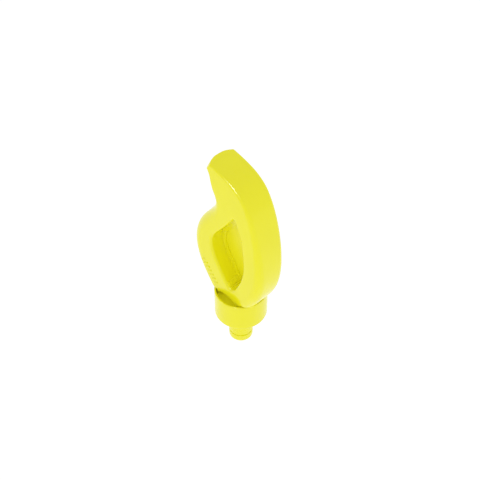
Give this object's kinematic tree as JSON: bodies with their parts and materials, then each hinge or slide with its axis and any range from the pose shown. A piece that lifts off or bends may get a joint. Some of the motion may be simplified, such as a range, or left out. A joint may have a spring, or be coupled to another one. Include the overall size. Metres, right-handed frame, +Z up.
{
  "type": "cable-rod hook fitting",
  "caption": "Swivelling hook-and-eye end fitting for a cable-pulling rod: moulded horned head with a web-backed pocket on each face, turning in a cup collar above a plug-in spigot.",
  "frame": {"origin": "on the swivel axis at the spigot's shoulder, the underside of the collar", "axes": "+Z up the swivel axis to the horn, +X across the head to the spine, +Y through the head's thickness to its rear face"},
  "size_m": [0.0242, 0.0142, 0.06],
  "materials": {
    "yellow_shell": "glossy moulded glass-filled nylon, bright yellow",
    "yellow_web": "glossy moulded nylon sheet, bright yellow",
    "yellow_rest": "moulded nylon, bright yellow",
    "yellow_collar": "glossy moulded nylon, bright yellow",
    "yellow_spigot": "glossy moulded nylon, bright yellow",
    "ground_steel": "ground stainless steel",
    "race_steel": "hardened and lapped bearing steel",
    "ball_steel": "polished bearing steel",
    "brass_cage": "pressed brass",
    "bronze_bush": "sintered bronze",
    "nitrile_seal": "black nitrile",
    "slide_ring": "natural acetal"
  },
  "bodies": {
    "base": {"collar": "yellow_collar", "spigot": "yellow_spigot", "swivel_pin": "ground_steel", "rivet_washer": "ground_steel", "wear_washer": "slide_ring", "upper_race": "race_steel"},
    "cage": {"ball_cage": "brass_cage", "bearing_balls": "ball_steel"},
    "head": {"front_shell": "yellow_shell", "rear_shell": "yellow_shell", "web_plate": "yellow_web", "front_wire_rest": "yellow_rest", "rear_wire_rest": "yellow_rest", "shell_dowels": "ground_steel", "pin_bush": "bronze_bush", "dust_seal": "nitrile_seal", "lower_race": "race_steel"}
  },
  "joints": [
    {"name": "head_swivel", "type": "hinge", "parent": "base", "child": "head", "pos_m": [0, 0, 0.0088], "axis": [0, 0, 1], "continuous": true},
    {"name": "cage_turn", "type": "hinge", "parent": "base", "child": "cage", "pos_m": [0, 0, 0.00735], "axis": [0, 0, 1], "continuous": true}
  ],
  "couplings": [
    {"joint": "cage_turn", "follows": "head_swivel", "ratio": 0.5}
  ]
}
